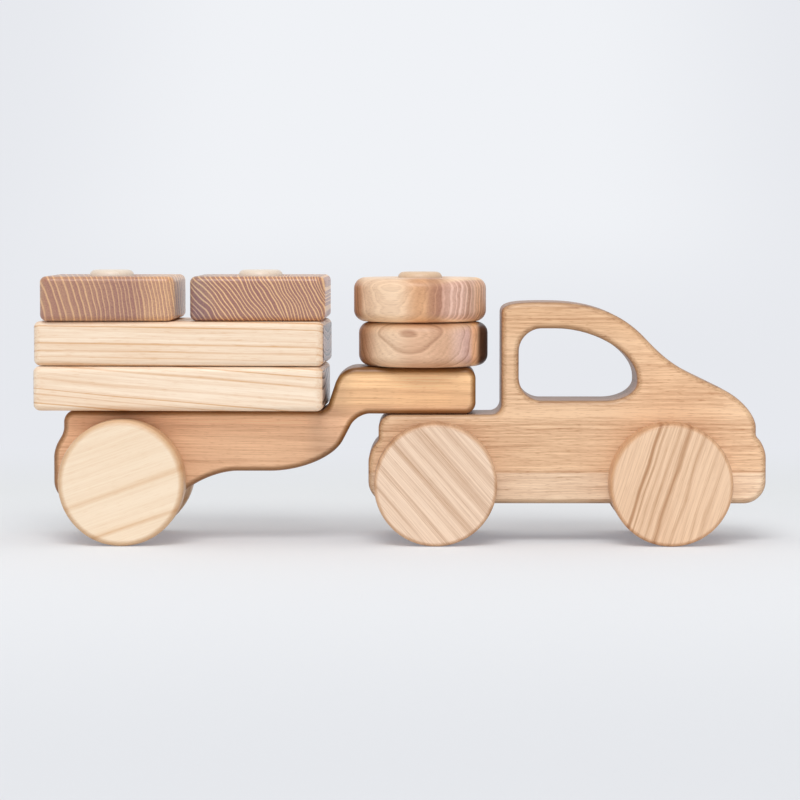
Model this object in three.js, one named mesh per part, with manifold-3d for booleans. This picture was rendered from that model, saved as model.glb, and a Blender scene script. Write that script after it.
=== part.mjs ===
// A wooden stacking truck: a pickup that tows a gooseneck trailer, with bars, square
// blocks and discs threaded on round pegs. Millimetres, +X towards the front of the
// truck, +Y to its left, +Z up, with the floor at Z = 0. The origin lies on the floor
// under the middle of the whole toy.

import * as THREE from "three";
import { mergeVertices } from "three/addons/utils/BufferGeometryUtils.js";
import Module from "manifold-3d";

const wasm = await Module();
wasm.setup();

// Clearances
const SEAT_GAP = 0.3; // between pieces that rest on each other or are glued together
const AXLE_PLAY = 0.4; // all round an axle in its body bore
const WHEEL_PLAY = 1; // between the inner face of a wheel and the body
const PEG_PLAY = 2; // all round a peg in the pieces that lift off it
const BLOCK_SPACE = 8; // between the two square blocks
const BAR_NECK_GAP = 0.3; // between the bars and the foot of the gooseneck

// Boards, dowels and wheels
const BODY_THICKNESS = 40; // both bodies, across the toy
const BODY_EDGE = 3; // rounding of the bodies' edges
const BOARD = 21.7; // bars, square blocks and discs
const BLOCK_WIDTH = 66;
const BLOCK_EDGE = 3; // rounding of a block's faces
const BLOCK_CORNER = 4.5; // rounding of its upright corners
const BAR_LENGTH = 142;
const UPPER_DISC_DIAMETER = 65.6;
const LOWER_DISC_DIAMETER = 64;
const DISC_EDGE = 5.5;
const DISC_RIM = 2; // rounding of a disc's hole
const PEG_DIAMETER = 22;
const PEG_DEPTH = 18; // sunk into the body
const PEG_PROUD = 2.8; // standing above the stack
const PEG_EDGE = 3;
const AXLE_DIAMETER = 10;
const AXLE_DEPTH = 12; // sunk into each wheel
const TRUCK_WHEEL_DIAMETER = 60;
const TRAILER_WHEEL_DIAMETER = 61.6;
const WHEEL_THICKNESS = 19;
const TRUCK_WHEEL_EDGE = 2;
const TRAILER_WHEEL_EDGE = 3;

// Truck body: lengths along X from the hitch peg's axis, heights from its axles, so that
// other wheels lift or lower the whole body
const TRUCK_REAR = 25.4;
const TRUCK_FRONT = 170.4;
const TRUCK_BOTTOM = -10.8;
const TRUCK_BED = 33.2;
const TRUCK_BED_ROUND = 7;
const BUMPER_STEP = 5; // how far each bumper stands out
const BUMPER_ROUND = 11; // lower corners of the bumpers
const BUMPER_SHOULDER = 6; // easing of the bumpers' upper corners
const NOTCH_ROUND = 1.2; // hollow above a bumper
const TAIL = 12.7; // from the bed down to the rear bumper
const NOSE = 15.1; // from the end of the hood line down to the front bumper
const CAB_REAR = 40;
const CAB_TOP = 88.5;
const CAB_SWEEP = 20; // length over which the roof bends down at the rear
const CAB_CORNER = 6; // the same down the rear wall
const CAB_FOOT = 5; // hollow between the cab's rear wall and the bed
const ROOF_FRONT = 76.6; // nose to the corner that the roof and the screen would make
const ROOF_SWEEP = 31; // length over which the roof bends down
const SCREEN_SWEEP = 25; // the same along the screen
const SCREEN_FOOT = 48.1; // nose to the corner between screen and hood
const SCREEN_FOOT_HEIGHT = 58.5;
const SCREEN_HOLLOW = 16; // length over which the screen eases into the hood
const HOOD_END = 37.6; // height of the hood line at the nose
const HOOD_NOSE = 18; // length over which the hood bends down
const NOSE_DROP = 11; // the same down the nose
const FRONT_AXLE = 122.4;
const REAR_AXLE = 7.6;

// Cab window
const WINDOW_POST = 8.6; // cab rear wall to window
const WINDOW_ROOF = 13; // roof to window
const WINDOW_SILL = 40; // height from the axles
const WINDOW_SCREEN = 63.7; // nose to the window's foremost point
const WINDOW_CORNER = 11.5; // its rear corners
const WINDOW_FOOT = 16; // length over which the sill bends up at the front
const WINDOW_NOSE = 9.5; // the same up the front edge
const WINDOW_SLOPE = 40; // length over which its top edge bends down
const WINDOW_DROP = 26; // the same down its front edge

// Trailer body, measured in the same way, with heights from its own axle
const TRAILER_REAR = 180.5;
const TRAILER_BOTTOM = -11.6;
const TRAILER_BED = 34.5;
const TRAILER_BED_ROUND = 6;
const TRAILER_TAIL = 10.8; // from the bed down to the bumper
const TRAILER_BUMPER_SHOULDER = 4;
const TRAILER_NOTCH_ROUND = 2.5;
const TRAILER_BUMPER_DROP = 8.5; // height of the slope from notch to bumper
const BELLY = 4.4; // height of the flat underside
const BOSS_FRONT = 122.3; // foot of the slope in front of the trailer's axle
const BOSS_ROUND = 6;
const BOSS_SLOPE = 16.3; // run of that slope
const BOSS_HOLLOW = 16; // length over which it eases into the underside
const BELLY_FRONT = 46; // corner between underside and gooseneck
const BELLY_SWEEP = 28;
const NECK_SWEEP = 17; // easing of the same corner along the gooseneck
const NECK_UNDER = 31.1; // corner where the gooseneck turns level, below
const NECK_UNDER_ROUND = 6.5;
const NECK_THICKNESS = 22.8;
const NECK_NOSE = 27.4; // hitch axis to the gooseneck's front end
const NECK_CORNER = 5.5;
const NECK_TOP = 39; // corner where it turns level, above
const NECK_TOP_ROUND = 8;
const NECK_FOOT = 46.1; // corner between gooseneck and trailer bed
const NECK_FOOT_ROUND = 2.5;
const TRAILER_AXLE = 145.6;

// How the loose pieces lie within the play on their pegs: shifted along X, and turned
// about Z by so many degrees
const LOWER_BAR_SHIFT = -1.2;
const UPPER_BAR_SHIFT = -0.6;
const REAR_SQUARE_SHIFT = 1;
const FRONT_SQUARE_SHIFT = 0.5;
const LOWER_DISC_SHIFT = 1.65;
const LOWER_BAR_TURN = -1.7;
const UPPER_BAR_TURN = -2.2;
const REAR_SQUARE_TURN = -0.7;
const FRONT_SQUARE_TURN = -1;

// Fullness of a corner's curve: the second draws a circular arc in a square corner
const SLACK = 0.5;
const ROUND = 0.5523;
const FULL = 0.7;
const TIGHT = 0.8;
const MOST_BENT = 0.96; // share of an edge that its two bends may take

// Facets
const CURVE_STEPS = 6;
const EDGE_STEPS = 2;
const ARC_STEPS = 1; // half the facets of a turned edge
const WHEEL_SIDES = 40;
const PEG_SIDES = 28;
const AXLE_SIDES = 18;

// Worked out from the sizes above
const TRUCK_AXLE_HEIGHT = TRUCK_WHEEL_DIAMETER / 2;
const TRAILER_AXLE_HEIGHT = TRAILER_WHEEL_DIAMETER / 2;
const NECK_BOTTOM = TRUCK_BED + SEAT_GAP; // from the truck's axles
const NECK_CREST = NECK_BOTTOM + NECK_THICKNESS;
const PITCH = BOARD + SEAT_GAP; // one layer of the stacks
const HOLE_RADIUS = PEG_DIAMETER / 2 + PEG_PLAY;
const WHEEL_FACE = BODY_THICKNESS / 2 + WHEEL_PLAY; // inner face of every wheel
const BAR_MIDDLE = NECK_FOOT + BAR_NECK_GAP + BAR_LENGTH / 2;
const LOAD_PEG_SPACING = BLOCK_WIDTH + BLOCK_SPACE;
const LOAD_MIDDLE = BAR_MIDDLE + LOWER_BAR_SHIFT; // between the load pegs
const FRONT_LOAD_PEG = LOAD_MIDDLE - LOAD_PEG_SPACING / 2;
const REAR_LOAD_PEG = LOAD_MIDDLE + LOAD_PEG_SPACING / 2;
const BAR_REACH = Math.max(
  turnedReach(LOWER_BAR_TURN) - LOWER_BAR_SHIFT,
  turnedReach(UPPER_BAR_TURN) - UPPER_BAR_SHIFT,
);
const TOY_REAR = Math.max(LOAD_MIDDLE + BAR_REACH, TRAILER_REAR);
const TOY_MIDDLE = (TRUCK_FRONT - TOY_REAR) / 2; // from the hitch axis

// How far a bar reaches along X from its middle when it lies turned, round corners allowed for.
function turnedReach(turn) {
  const angle = THREE.MathUtils.degToRad(Math.abs(turn));
  const along = BAR_LENGTH / 2 - BLOCK_CORNER;
  const across = BLOCK_WIDTH / 2 - BLOCK_CORNER;
  return along * Math.cos(angle) + across * Math.sin(angle) + BLOCK_CORNER;
}

// Oiled hardwood in the tones of the pieces
const wood = (color, roughness = 0.55) =>
  new THREE.MeshStandardMaterial({ color, roughness, metalness: 0 });
const honeyWood = wood(0xd9b084);
const russetWood = wood(0xcfa27a);
const creamWood = wood(0xeed3aa);
const mauveWood = wood(0xb48c76, 0.6);
const goldenWood = wood(0xcda274);
const wheelWood = wood(0xe6c9a4);
const dowelWood = wood(0xead0ae, 0.5);

// A closed outline with rounded corners. Each corner is a point, the lengths over which
// the outline bends before and after it, and the fullness of the bend, a cubic curve.
// Where two bends would meet on an edge, both are shortened to leave a little of it straight.
function roundedOutline(corners, path = new THREE.Shape()) {
  const count = corners.length;
  const points = corners.map(([x, y]) => new THREE.Vector2(x, y));
  const fit = corners.map(([, , , after], i) => {
    const next = (i + 1) % count;
    const bends = after + corners[next][2];
    return Math.min(1, (MOST_BENT * points[i].distanceTo(points[next])) / bends);
  });
  const along = (from, to, length) =>
    to.clone().sub(from).setLength(length).add(from);
  corners.forEach(([, , before, after, fullness = ROUND], i) => {
    const corner = points[i];
    const start = along(corner, points.at(i - 1), before * fit.at(i - 1));
    const end = along(corner, points[(i + 1) % count], after * fit[i]);
    const leave = start.clone().lerp(corner, fullness);
    const arrive = end.clone().lerp(corner, fullness);
    if (i === 0) path.moveTo(start.x, start.y);
    else path.lineTo(start.x, start.y);
    path.bezierCurveTo(leave.x, leave.y, arrive.x, arrive.y, end.x, end.y);
  });
  path.closePath();
  return path;
}

// A board sawn to an outline, of the given thickness from z = 0, with its edges rounded.
function roundedBoard(outline, thickness, edge) {
  const geometry = new THREE.ExtrudeGeometry(outline, {
    depth: thickness - 2 * edge,
    bevelThickness: edge,
    bevelSize: edge,
    bevelOffset: -edge,
    bevelSegments: EDGE_STEPS,
    curveSegments: CURVE_STEPS,
  });
  return geometry.translate(0, 0, edge);
}

// A body seen from its right side: the outline is in X and Z, the thickness across Y.
function bodyBoard(outline) {
  const geometry = roundedBoard(outline, BODY_THICKNESS, BODY_EDGE);
  return geometry.translate(0, 0, -BODY_THICKNESS / 2).rotateX(Math.PI / 2);
}

function solidOf(geometry) {
  const bare = geometry.clone();
  bare.deleteAttribute("normal");
  bare.deleteAttribute("uv");
  const merged = mergeVertices(bare, 1e-4);
  const mesh = new wasm.Mesh({
    numProp: 3,
    vertProperties: merged.attributes.position.array,
    triVerts: new Uint32Array(merged.index.array),
  });
  return new wasm.Manifold(mesh);
}

function geometryOf(solid) {
  const mesh = solid.getMesh();
  const geometry = new THREE.BufferGeometry();
  geometry.setAttribute("position", new THREE.BufferAttribute(mesh.vertProperties, 3));
  geometry.setIndex(new THREE.BufferAttribute(mesh.triVerts, 1));
  geometry.computeVertexNormals();
  return geometry;
}

function drilled(geometry, drills) {
  const cut = drills.reduce(
    (solid, drill) => solid.subtract(solidOf(drill)),
    solidOf(geometry),
  );
  return geometryOf(cut);
}

// A bore for an axle, right across the body.
function axleBore(x) {
  const radius = AXLE_DIAMETER / 2 + AXLE_PLAY;
  const length = BODY_THICKNESS + 2 * BODY_EDGE;
  return new THREE.CylinderGeometry(radius, radius, length, AXLE_SIDES).translate(x, 0, 0);
}

// An upright hole of the given radius between two heights.
function uprightHole(x, bottom, top, radius) {
  const hole = new THREE.CylinderGeometry(radius, radius, top - bottom, PEG_SIDES);
  return hole.rotateX(Math.PI / 2).translate(x, 0, (bottom + top) / 2);
}

// A blind hole that a peg is glued into, from the top of the bed.
function pegSocket(x, bed) {
  const radius = PEG_DIAMETER / 2 + SEAT_GAP;
  return uprightHole(x, bed - PEG_DEPTH - SEAT_GAP, bed + BODY_EDGE, radius);
}

// Truck: a pickup sawn from one board, drawn anticlockwise from its rear lower corner.
function truckOutline() {
  const hoodLine = TRUCK_FRONT - BUMPER_STEP;
  const bedRear = -TRUCK_REAR + BUMPER_STEP;
  const rearNotch = TRUCK_BED - TAIL;
  const frontNotch = HOOD_END - NOSE;
  return roundedOutline([
    [-TRUCK_REAR, TRUCK_BOTTOM, BUMPER_ROUND, BUMPER_ROUND],
    [TRUCK_FRONT, TRUCK_BOTTOM, BUMPER_ROUND, BUMPER_ROUND],
    [TRUCK_FRONT, frontNotch - BUMPER_STEP, BUMPER_SHOULDER, BUMPER_SHOULDER],
    [hoodLine, frontNotch, NOTCH_ROUND, NOTCH_ROUND],
    [hoodLine, HOOD_END, NOSE_DROP, HOOD_NOSE],
    [TRUCK_FRONT - SCREEN_FOOT, SCREEN_FOOT_HEIGHT, SCREEN_HOLLOW, SCREEN_HOLLOW, TIGHT],
    [TRUCK_FRONT - ROOF_FRONT, CAB_TOP, SCREEN_SWEEP, ROOF_SWEEP, FULL],
    [CAB_REAR, CAB_TOP, CAB_SWEEP, CAB_CORNER, TIGHT],
    [CAB_REAR, TRUCK_BED, CAB_FOOT, CAB_FOOT],
    [bedRear, TRUCK_BED, TRUCK_BED_ROUND, TRUCK_BED_ROUND],
    [bedRear, rearNotch, NOTCH_ROUND, NOTCH_ROUND],
    [-TRUCK_REAR, rearNotch - BUMPER_STEP, BUMPER_SHOULDER, BUMPER_SHOULDER],
  ]);
}

function windowOutline() {
  const rear = CAB_REAR + WINDOW_POST;
  const front = TRUCK_FRONT - WINDOW_SCREEN;
  const top = CAB_TOP - WINDOW_ROOF;
  return roundedOutline(
    [
      [rear, top, WINDOW_CORNER, WINDOW_CORNER],
      [rear, WINDOW_SILL, WINDOW_CORNER, WINDOW_CORNER],
      [front, WINDOW_SILL, WINDOW_FOOT, WINDOW_NOSE],
      [front, top, WINDOW_DROP, WINDOW_SLOPE, SLACK],
    ],
    new THREE.Path(),
  );
}

function truckBody() {
  const outline = truckOutline();
  outline.holes.push(windowOutline());
  return drilled(bodyBoard(outline), [
    axleBore(REAR_AXLE),
    axleBore(FRONT_AXLE),
    pegSocket(0, TRUCK_BED),
  ]);
}

// The underside and the top of the gooseneck, from the trailer's axle: it lies on the truck.
const neckBottom = NECK_BOTTOM + TRUCK_AXLE_HEIGHT - TRAILER_AXLE_HEIGHT;
const neckCrest = neckBottom + NECK_THICKNESS;

// Trailer: bed, belly and gooseneck in one board, drawn from its rear lower corner.
function trailerOutline() {
  const bedRear = -TRAILER_REAR + BUMPER_STEP;
  const notch = TRAILER_BED - TRAILER_TAIL;
  const bumperTop = notch - TRAILER_BUMPER_DROP;
  const slopeTop = -BOSS_FRONT + BOSS_SLOPE;
  return roundedOutline([
    [-TRAILER_REAR, TRAILER_BOTTOM, BUMPER_ROUND, BUMPER_ROUND],
    [-BOSS_FRONT, TRAILER_BOTTOM, BOSS_ROUND, BOSS_ROUND],
    [slopeTop, BELLY, BOSS_HOLLOW, BOSS_HOLLOW],
    [-BELLY_FRONT, BELLY, BELLY_SWEEP, NECK_SWEEP],
    [-NECK_UNDER, neckBottom, NECK_UNDER_ROUND, NECK_UNDER_ROUND],
    [NECK_NOSE, neckBottom, NECK_CORNER, NECK_CORNER],
    [NECK_NOSE, neckCrest, NECK_CORNER, NECK_CORNER],
    [-NECK_TOP, neckCrest, NECK_TOP_ROUND, NECK_TOP_ROUND],
    [-NECK_FOOT, TRAILER_BED, NECK_FOOT_ROUND, NECK_FOOT_ROUND],
    [bedRear, TRAILER_BED, TRAILER_BED_ROUND, TRAILER_BED_ROUND],
    [bedRear, notch, TRAILER_NOTCH_ROUND, TRAILER_NOTCH_ROUND],
    [-TRAILER_REAR, bumperTop, TRAILER_BUMPER_SHOULDER, TRAILER_BUMPER_SHOULDER],
  ]);
}

function trailerBody() {
  return drilled(bodyBoard(trailerOutline()), [
    axleBore(-TRAILER_AXLE),
    pegSocket(-REAR_LOAD_PEG, TRAILER_BED),
    pegSocket(-FRONT_LOAD_PEG, TRAILER_BED),
    uprightHole(0, neckBottom - BODY_EDGE, neckCrest + BODY_EDGE, HOLE_RADIUS),
  ]);
}

// A cargo block of the given length with a hole at each of the given places along X.
function cargoBlock(length, holes) {
  const x = length / 2;
  const y = BLOCK_WIDTH / 2;
  const outline = roundedOutline(
    [[-x, -y], [x, -y], [x, y], [-x, y]].map((corner) => [
      ...corner,
      BLOCK_CORNER,
      BLOCK_CORNER,
    ]),
  );
  for (const place of holes) {
    const rim = new THREE.Path();
    rim.absarc(place, 0, HOLE_RADIUS, 0, Math.PI);
    rim.absarc(place, 0, HOLE_RADIUS, Math.PI, 2 * Math.PI);
    outline.holes.push(rim);
  }
  return roundedBoard(outline, BOARD, BLOCK_EDGE);
}

// The rounded outer edges of a turned profile, from its lower face up to its upper face.
function turnedRim(path, radius, bottom, top, edge) {
  path.lineTo(radius - edge, bottom);
  path.absarc(radius - edge, bottom + edge, edge, -Math.PI / 2, 0);
  path.absarc(radius - edge, top - edge, edge, 0, Math.PI / 2);
  return path;
}

const turned = (path, sides) => new THREE.LatheGeometry(path.getPoints(ARC_STEPS), sides);
const upright = (geometry) => geometry.rotateX(Math.PI / 2);

// A disc turned with a hole through it, its axis along Z and its lower face at z = 0.
function cargoDisc(diameter) {
  const profile = new THREE.Path();
  profile.moveTo(HOLE_RADIUS + DISC_RIM, 0);
  turnedRim(profile, diameter / 2, 0, BOARD, DISC_EDGE);
  const rim = HOLE_RADIUS + DISC_RIM;
  profile.absarc(rim, BOARD - DISC_RIM, DISC_RIM, Math.PI / 2, Math.PI);
  profile.absarc(rim, DISC_RIM, DISC_RIM, Math.PI, 1.5 * Math.PI);
  return upright(turned(profile, WHEEL_SIDES));
}

// A wheel with a blind bore for its axle, its axis along Y and its inner face at y = 0.
function wheel(diameter, edge) {
  const bore = AXLE_DIAMETER / 2 + SEAT_GAP;
  const depth = AXLE_DEPTH + SEAT_GAP;
  const profile = new THREE.Path();
  profile.moveTo(0, depth);
  profile.lineTo(bore, depth);
  profile.lineTo(bore, 0);
  turnedRim(profile, diameter / 2, 0, WHEEL_THICKNESS, edge);
  profile.lineTo(0, WHEEL_THICKNESS);
  return turned(profile, WHEEL_SIDES);
}

// A dowel across the toy, glued into a wheel at each end.
function axle() {
  const reach = WHEEL_FACE + AXLE_DEPTH;
  const profile = new THREE.Path();
  profile.moveTo(0, -reach);
  profile.lineTo(AXLE_DIAMETER / 2, -reach);
  profile.lineTo(AXLE_DIAMETER / 2, reach);
  profile.lineTo(0, reach);
  return turned(profile, AXLE_SIDES);
}

// A round-topped peg of the given length, its lower end at z = 0.
function peg(length) {
  const radius = PEG_DIAMETER / 2;
  const profile = new THREE.Path();
  profile.moveTo(0, 0);
  profile.lineTo(radius, 0);
  profile.lineTo(radius, length - PEG_EDGE);
  profile.absarc(radius - PEG_EDGE, length - PEG_EDGE, PEG_EDGE, 0, Math.PI / 2);
  profile.lineTo(0, length);
  return upright(turned(profile, PEG_SIDES));
}

function piece(name, geometry, material, x = 0, z = 0) {
  const mesh = new THREE.Mesh(geometry, material);
  mesh.name = name;
  mesh.position.set(x, 0, z);
  return mesh;
}

// An axle with its left and right wheels.
function wheelset(name, diameter, edge, x) {
  const group = new THREE.Group();
  group.position.x = x;
  group.add(piece(`${name}_axle`, axle(), dowelWood));
  const left = piece(`${name}_wheel_left`, wheel(diameter, edge), wheelWood);
  left.position.y = WHEEL_FACE;
  const right = piece(`${name}_wheel_right`, wheel(diameter, edge), wheelWood);
  right.position.y = -WHEEL_FACE;
  right.rotation.z = Math.PI;
  group.add(left, right);
  return group;
}

// A peg that stands in a socket and shows above a stack of layers.
function pegOn(name, x, bed, stackBottom, layers) {
  const bottom = bed - PEG_DEPTH;
  const top = stackBottom + layers * PITCH + PEG_PROUD;
  return piece(name, peg(top - bottom), dowelWood, x, bottom);
}

const layer = (stackBottom, index) => stackBottom + index * PITCH + SEAT_GAP;

// The truck and the trailer, each with its axles at z = 0
function truck() {
  const group = new THREE.Group();
  group.position.z = TRUCK_AXLE_HEIGHT;
  group.add(
    piece("truck_body", truckBody(), honeyWood),
    pegOn("hitch_peg", 0, TRUCK_BED, NECK_CREST, 2),
    wheelset("truck_front", TRUCK_WHEEL_DIAMETER, TRUCK_WHEEL_EDGE, FRONT_AXLE),
    wheelset("truck_rear", TRUCK_WHEEL_DIAMETER, TRUCK_WHEEL_EDGE, REAR_AXLE),
    piece(
      "lower_disc",
      cargoDisc(LOWER_DISC_DIAMETER),
      goldenWood,
      LOWER_DISC_SHIFT,
      layer(NECK_CREST, 0),
    ),
    piece("upper_disc", cargoDisc(UPPER_DISC_DIAMETER), goldenWood, 0, layer(NECK_CREST, 1)),
  );
  return group;
}

function trailer() {
  const barHoles = [-LOAD_PEG_SPACING / 2, LOAD_PEG_SPACING / 2];
  const group = new THREE.Group();
  group.position.z = TRAILER_AXLE_HEIGHT;
  group.add(
    piece("trailer_body", trailerBody(), russetWood),
    pegOn("load_peg_rear", -REAR_LOAD_PEG, TRAILER_BED, TRAILER_BED, 3),
    pegOn("load_peg_front", -FRONT_LOAD_PEG, TRAILER_BED, TRAILER_BED, 3),
    wheelset("trailer", TRAILER_WHEEL_DIAMETER, TRAILER_WHEEL_EDGE, -TRAILER_AXLE),
  );
  const load = [
    ["lower_bar", 0, -LOAD_MIDDLE + LOWER_BAR_SHIFT, LOWER_BAR_TURN],
    ["upper_bar", 1, -LOAD_MIDDLE + UPPER_BAR_SHIFT, UPPER_BAR_TURN],
    ["rear_square_block", 2, -REAR_LOAD_PEG + REAR_SQUARE_SHIFT, REAR_SQUARE_TURN],
    ["front_square_block", 2, -FRONT_LOAD_PEG + FRONT_SQUARE_SHIFT, FRONT_SQUARE_TURN],
  ];
  for (const [name, index, place, turn] of load) {
    const square = index === 2;
    const block = square ? cargoBlock(BLOCK_WIDTH, [0]) : cargoBlock(BAR_LENGTH, barHoles);
    const material = square ? mauveWood : creamWood;
    const mesh = piece(name, block, material, place, layer(TRAILER_BED, index));
    mesh.rotation.z = THREE.MathUtils.degToRad(turn);
    group.add(mesh);
  }
  return group;
}

// The whole toy, moved so that its middle lies over the origin
const toy = new THREE.Group();
const fromHitch = new THREE.Group();
fromHitch.position.x = -TOY_MIDDLE;
fromHitch.add(truck(), trailer());
toy.add(fromHitch);

export default toy;
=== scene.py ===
"""Looks of a wooden stacking truck: a pickup that tows a gooseneck trailer, with bars, square
blocks and discs threaded on round pegs. Metres, +X towards the front of the truck, +Y to its
left, +Z up, with the floor at Z = 0.
"""

import math

import bpy
import numpy as np
from bpy.props import FloatProperty, FloatVectorProperty, PointerProperty
from mathutils import Euler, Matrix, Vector
from mathutils.geometry import tessellate_polygon


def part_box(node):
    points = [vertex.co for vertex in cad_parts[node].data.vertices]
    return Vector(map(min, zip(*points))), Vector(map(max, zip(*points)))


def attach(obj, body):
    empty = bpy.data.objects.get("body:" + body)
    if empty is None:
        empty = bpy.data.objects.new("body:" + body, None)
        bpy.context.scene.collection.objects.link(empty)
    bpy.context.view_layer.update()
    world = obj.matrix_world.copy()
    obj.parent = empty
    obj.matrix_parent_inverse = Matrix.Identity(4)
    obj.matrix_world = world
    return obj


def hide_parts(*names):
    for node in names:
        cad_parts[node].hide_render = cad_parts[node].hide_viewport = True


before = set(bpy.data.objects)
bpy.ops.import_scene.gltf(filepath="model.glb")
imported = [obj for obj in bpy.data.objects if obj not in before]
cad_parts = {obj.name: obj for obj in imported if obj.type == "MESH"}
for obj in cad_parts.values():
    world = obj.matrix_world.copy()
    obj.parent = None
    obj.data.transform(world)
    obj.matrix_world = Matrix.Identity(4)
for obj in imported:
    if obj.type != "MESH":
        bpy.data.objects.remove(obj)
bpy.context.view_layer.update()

bl_info = {
    "name": "Wooden stacking truck",
    "version": (1, 0, 0),
    "blender": (4, 5, 0),
    "location": "3D View > Sidebar > Stacking truck",
    "description": "Builds the surfaces and the wood of a stacking truck with its trailer and load",
    "category": "Object",
}

MM = 0.001
CORNER_STEPS = 20
EDGE_STEPS = 8
HOLE_STEPS = 96
TURNED_STEPS = 160
SUPPORT = 0.4 * MM  # width of the flat ring that keeps a face's shading flat
CUT_OVERLAP = 3 * MM  # how far a drill stands out of the wood it cuts
SLACK = 0.5  # fullness of a bend
ROUND = 0.5523  # the one that draws a circular arc in a square corner
FULL = 0.7
TIGHT = 0.8
MOST_BENT = 0.96  # share of an edge that its two bends may take
SHARP = math.radians(32)  # an edge that turns by more stays sharp
TREAD_OIL = 1.0  # how much oil a wheel's tread holds, beside its edges
TREAD_SHARE = 0.25  # share of an edge's rounding that counts as tread
NOISE_REACH = 4  # brings noise, which mostly keeps a quarter from its middle, to about one


def length(label, description, millimetres):
    """A size in metres, given in millimetres."""
    return FloatProperty(
        name=label,
        description=description,
        default=millimetres * MM,
        unit="LENGTH",
        subtype="DISTANCE",
        precision=4,
    )


def turning(label, description, degrees):
    """An angle in radians, given in degrees."""
    return FloatProperty(
        name=label,
        description=description,
        default=math.radians(degrees),
        unit="ROTATION",
        subtype="ANGLE",
    )


def amount(label, description, value, least=0):
    """A plain number, no smaller than the least."""
    return FloatProperty(name=label, description=description, default=value, min=least)


def colour(label, description, red, green, blue):
    """A colour as the eye reads it, in steps of 255."""
    return FloatVectorProperty(
        name=label,
        description=description,
        default=(red / 255, green / 255, blue / 255),
        subtype="COLOR_GAMMA",
        min=0,
        max=1,
    )


class BodySizes(bpy.types.PropertyGroup):
    """Sizes that the truck and the trailer share."""

    edge: length("Edge", "Rounding of the edges of both bodies", 3)
    bumper_step: length("Bumper step", "How far each bumper stands out", 5)
    bumper_round: length("Bumper round", "Lower corners of the bumpers", 11)
    bore_play: length("Bore play", "Gap all round an axle in its bore", 0.4)
    seat_gap: length("Seat gap", "Gap between glued or resting pieces", 0.3)
    peg_play: length("Peg play", "Gap all round a peg in what lifts off it", 2)
    rim: length("Rim", "Easing of the gooseneck's hole", 1.2)


class TruckSizes(bpy.types.PropertyGroup):
    """The truck's outline: lengths from the hitch peg's axis, heights from the axles."""

    rear: length("Rear", "Hitch axis to the rear bumper", 25.4)
    front: length("Front", "Hitch axis to the nose", 170.4)
    bottom: length("Bottom", "Height of the underside", -10.8)
    bed: length("Bed", "Height of the bed", 33.2)
    bed_round: length("Bed round", "Rear end of the bed", 7)
    shoulder: length("Bumper shoulder", "Easing of the bumpers' upper corners", 6)
    notch: length("Notch", "Hollow above a bumper", 1.2)
    tail: length("Tail", "Bed down to the rear bumper", 12.7)
    nose: length("Nose", "End of the hood line down to the front bumper", 15.1)
    cab_rear: length("Cab rear", "Hitch axis to the cab's rear wall", 40)
    cab_top: length("Cab top", "Height of the roof", 88.5)
    cab_sweep: length("Cab sweep", "Length over which the roof bends down at the rear", 20)
    cab_corner: length("Cab corner", "The same down the rear wall", 6)
    cab_foot: length("Cab foot", "Hollow between cab and bed", 5)
    roof_front: length("Roof front", "Nose to the corner of roof and screen", 76.6)
    roof_sweep: length("Roof sweep", "Length over which the roof bends down", 31)
    screen_sweep: length("Screen sweep", "The same along the screen", 25)
    screen_foot: length("Screen foot", "Nose to the corner of screen and hood", 48.1)
    screen_height: length("Screen height", "Height of that corner", 58.5)
    screen_hollow: length("Screen hollow", "Easing of screen into hood", 16)
    hood_end: length("Hood end", "Height of the hood line at the nose", 37.6)
    hood_nose: length("Hood nose", "Length over which the hood bends down", 18)
    nose_drop: length("Nose drop", "The same down the nose", 11)
    post: length("Window post", "Cab rear wall to window", 8.6)
    header: length("Window header", "Roof to window", 13)
    sill: length("Window sill", "Height of the sill", 40)
    window_front: length("Window front", "Nose to the window's foremost point", 63.7)
    window_corner: length("Window corner", "Rear corners of the window", 11.5)
    window_foot: length("Window foot", "Length over which the sill bends up at the front", 16)
    window_nose: length("Window nose", "The same up the window's front", 9.5)
    window_slope: length("Window slope", "Length over which its top bends down", 40)
    window_drop: length("Window drop", "The same down its front", 26)


class TrailerSizes(bpy.types.PropertyGroup):
    """The trailer's outline: lengths from the hitch peg's axis, heights from its axle."""

    rear: length("Rear", "Hitch axis to the rear bumper", 180.5)
    bottom: length("Bottom", "Height under the axle boss", -11.6)
    bed: length("Bed", "Height of the bed", 34.5)
    bed_round: length("Bed round", "Rear end of the bed", 6)
    tail: length("Tail", "Bed down to the bumper", 10.8)
    shoulder: length("Bumper shoulder", "Easing of the bumper's upper corner", 4)
    notch: length("Notch", "Hollow above the bumper", 2.5)
    bumper_drop: length("Bumper drop", "Height of the slope from notch to bumper", 8.5)
    belly: length("Belly", "Height of the flat underside", 4.4)
    boss_front: length("Boss front", "Foot of the slope in front of the axle", 122.3)
    boss_round: length("Boss round", "Easing of that foot", 6)
    boss_slope: length("Boss slope", "Run of that slope", 16.3)
    boss_hollow: length("Boss hollow", "Easing of the slope into the underside", 16)
    belly_front: length("Belly front", "Corner of underside and gooseneck", 46)
    belly_sweep: length("Belly sweep", "Easing of that corner along the underside", 28)
    neck_sweep: length("Neck sweep", "The same along the gooseneck", 17)
    neck_under: length("Neck under", "Where the gooseneck turns level below", 31.1)
    neck_under_round: length("Neck under round", "Easing of that corner", 6.5)
    neck_nose: length("Neck nose", "Hitch axis to the gooseneck's front end", 27.4)
    neck_corner: length("Neck corner", "Rounding of that end", 5.5)
    neck_top: length("Neck top", "Where the gooseneck turns level above", 39)
    neck_top_round: length("Neck top round", "Easing of that corner", 8)
    neck_foot: length("Neck foot", "Corner of gooseneck and bed", 46.1)
    neck_foot_round: length("Neck foot round", "Easing of that corner", 2.5)


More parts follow.
